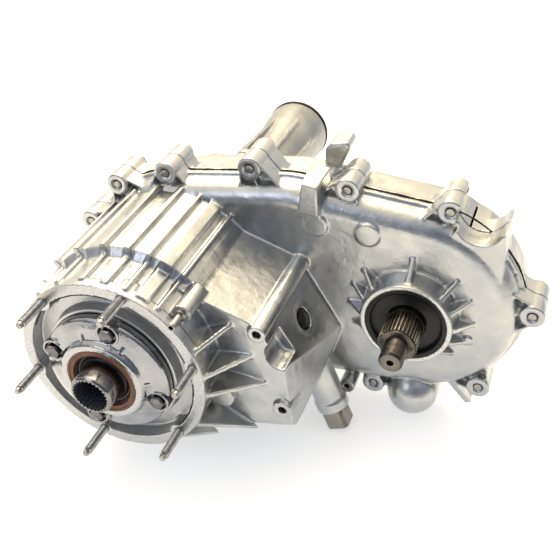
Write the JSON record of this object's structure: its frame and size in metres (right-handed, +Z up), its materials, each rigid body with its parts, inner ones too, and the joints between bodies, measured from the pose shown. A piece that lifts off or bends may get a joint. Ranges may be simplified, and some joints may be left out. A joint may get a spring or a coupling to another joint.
{
  "type": "transfer case",
  "caption": "Chain-driven two-speed transfer case: a cast aluminium case with a planetary reduction, a splined input, a rear extension and an offset front output.",
  "frame": {"origin": "centre of the round input flange's face, on the main shaft axis", "axes": "+Y runs back along the shafts from the input flange to the extension's mouth, +X points to the front output shaft, +Z is up as the case lies in the picture"},
  "size_m": [0.519, 0.595, 0.3133],
  "materials": {
    "cast_aluminium": "as cast, blasted",
    "machined_aluminium": "machined",
    "sealant": "cured silicone bead",
    "zinc_steel": "zinc plated",
    "stud_steel": "oiled steel",
    "polished_steel": "ground",
    "gear_steel": "hardened, oiled",
    "dark_phosphate_steel": "phosphated",
    "bronze": "sintered bronze",
    "black_rubber": "moulded",
    "brown_rubber": "moulded",
    "black_plastic": "moulded",
    "magnet": "sintered"
  },
  "bodies": {
    "case": {"front_case": "cast_aluminium", "rear_case": "cast_aluminium", "case_sealant": "sealant", "case_dowels": "stud_steel", "case_bolts": "zinc_steel", "retainer_bolts": "zinc_steel", "extension_bolts": "zinc_steel", "input_studs": "stud_steel", "input_retainer": "cast_aluminium", "retainer_sealant": "sealant", "input_seal": "brown_rubber", "output_seal": "black_rubber", "input_bearing_outer": "polished_steel", "output_bearing_outer": "polished_steel", "rear_bearing_outer": "polished_steel", "output_needle_bearing": "polished_steel", "ring_gear": "gear_steel", "ring_gear_circlip": "stud_steel", "shift_rail": "stud_steel", "sector_seal": "black_rubber", "detent_spring": "stud_steel", "oil_pump_housing": "machined_aluminium", "oil_pickup": "black_plastic", "oil_magnet": "magnet", "speed_sensor": "black_plastic", "extension_housing": "cast_aluminium", "tail_bushing": "bronze", "tail_seal": "black_rubber", "case_plugs": "zinc_steel", "vent_nipple": "zinc_steel", "mode_switch": "black_plastic", "drive_chain": "gear_steel"},
    "input": {"input_shaft": "polished_steel", "input_snap_ring": "stud_steel", "input_bearing_inner": "polished_steel", "pilot_bearing": "bronze"},
    "input_balls": {"input_bearing_balls": "polished_steel"},
    "carrier": {"planet_carrier": "gear_steel", "planet_pins": "stud_steel"},
    "planet_1": {"planet_gear_1": "gear_steel"},
    "planet_2": {"planet_gear_2": "gear_steel"},
    "planet_3": {"planet_gear_3": "gear_steel"},
    "planet_4": {"planet_gear_4": "gear_steel"},
    "main": {"mainshaft": "gear_steel", "mode_hub": "gear_steel", "rear_bearing_inner": "polished_steel", "oil_pump_rotor": "gear_steel", "tone_wheel": "gear_steel"},
    "rear_balls": {"rear_bearing_balls": "polished_steel"},
    "range_hub": {"range_hub": "gear_steel"},
    "mode_sleeve": {"mode_sleeve": "gear_steel"},
    "drive_sprocket": {"drive_sprocket": "gear_steel"},
    "front_output": {"front_output_shaft": "dark_phosphate_steel", "driven_sprocket": "gear_steel", "output_bearing_inner": "polished_steel"},
    "output_balls": {"output_bearing_balls": "polished_steel"},
    "sector": {"sector_shaft": "dark_phosphate_steel"},
    "range_fork": {"range_fork": "machined_aluminium"},
    "mode_fork": {"mode_fork": "machined_aluminium"},
    "detent": {"detent_plunger": "stud_steel"}
  },
  "joints": [
    {"name": "input_spin", "type": "hinge", "parent": "case", "child": "input", "pos_m": [0, 0, 0], "axis": [0, 1, 0], "continuous": true, "deforming": ["drive_chain"]},
    {"name": "input_balls_spin", "type": "hinge", "parent": "case", "child": "input_balls", "pos_m": [0, 0.012, 0], "axis": [0, 1, 0], "continuous": true},
    {"name": "carrier_spin", "type": "hinge", "parent": "case", "child": "carrier", "pos_m": [0, 0.06, 0], "axis": [0, 1, 0], "continuous": true},
    {"name": "planet_1_spin", "type": "hinge", "parent": "carrier", "child": "planet_1", "pos_m": [0.0667, 0.074, 0], "axis": [0, 1, 0], "continuous": true},
    {"name": "planet_2_spin", "type": "hinge", "parent": "carrier", "child": "planet_2", "pos_m": [0, 0.074, 0.0667], "axis": [0, 1, 0], "continuous": true},
    {"name": "planet_3_spin", "type": "hinge", "parent": "carrier", "child": "planet_3", "pos_m": [-0.0667, 0.074, 0], "axis": [0, 1, 0], "continuous": true},
    {"name": "planet_4_spin", "type": "hinge", "parent": "carrier", "child": "planet_4", "pos_m": [0, 0.074, -0.0667], "axis": [0, 1, 0], "continuous": true},
    {"name": "mainshaft_spin", "type": "hinge", "parent": "case", "child": "main", "pos_m": [0, 0.3, 0], "axis": [0, 1, 0], "continuous": true},
    {"name": "rear_balls_spin", "type": "hinge", "parent": "case", "child": "rear_balls", "pos_m": [0, 0.272, 0], "axis": [0, 1, 0], "continuous": true},
    {"name": "drive_sprocket_spin", "type": "hinge", "parent": "case", "child": "drive_sprocket", "pos_m": [0, 0.197, 0], "axis": [0, 1, 0], "continuous": true},
    {"name": "front_output_spin", "type": "hinge", "parent": "case", "child": "front_output", "pos_m": [0.258, 0.197, 0.0205], "axis": [0, 1, 0], "continuous": true},
    {"name": "output_balls_spin", "type": "hinge", "parent": "case", "child": "output_balls", "pos_m": [0.258, 0.159, 0.0205], "axis": [0, 1, 0], "continuous": true},
    {"name": "range_fork_slide", "type": "slide", "parent": "case", "child": "range_fork", "axis": [0, 1, 0], "range_m": [0, 0.024]},
    {"name": "sector_turn", "type": "hinge", "parent": "case", "child": "sector", "pos_m": [0.155, 0.138, -0.03011], "axis": [0.3827, 0, -0.9239], "range_deg": [0, 28.17]},
    {"name": "range_hub_slide", "type": "slide", "parent": "main", "child": "range_hub", "axis": [0, 1, 0], "range_m": [0, 0.0241]},
    {"name": "mode_fork_slide", "type": "slide", "parent": "case", "child": "mode_fork", "axis": [0, 1, 0], "range_m": [0, 0.008]},
    {"name": "mode_sleeve_slide", "type": "slide", "parent": "main", "child": "mode_sleeve", "axis": [0, 1, 0], "range_m": [0, 0.0081]},
    {"name": "detent_slide", "type": "slide", "parent": "case", "child": "detent", "axis": [0, -1, 0], "range_m": [0, 0.002], "stiffness_N_per_m": 3000, "deforming": ["detent_spring"]}
  ],
  "couplings": [
    {"joint": "input_balls_spin", "follows": "input_spin", "ratio": 0.415},
    {"joint": "carrier_spin", "follows": "input_spin", "ratio": 0.36956},
    {"joint": "planet_1_spin", "follows": "input_spin", "ratio": -1.7862},
    {"joint": "planet_2_spin", "follows": "input_spin", "ratio": -1.7862},
    {"joint": "planet_3_spin", "follows": "input_spin", "ratio": -1.7862},
    {"joint": "planet_4_spin", "follows": "input_spin", "ratio": -1.7862},
    {"joint": "mainshaft_spin", "follows": "input_spin", "ratio": 1},
    {"joint": "rear_balls_spin", "follows": "input_spin", "ratio": 0.415},
    {"joint": "drive_sprocket_spin", "follows": "input_spin", "ratio": 1},
    {"joint": "front_output_spin", "follows": "input_spin", "ratio": 1},
    {"joint": "output_balls_spin", "follows": "input_spin", "ratio": 0.40083},
    {"joint": "sector_turn", "follows": "range_fork_slide", "rad_per_m": 20.415},
    {"joint": "range_hub_slide", "follows": "range_fork_slide", "ratio": 1},
    {"joint": "mode_sleeve_slide", "follows": "mode_fork_slide", "ratio": 1}
  ]
}
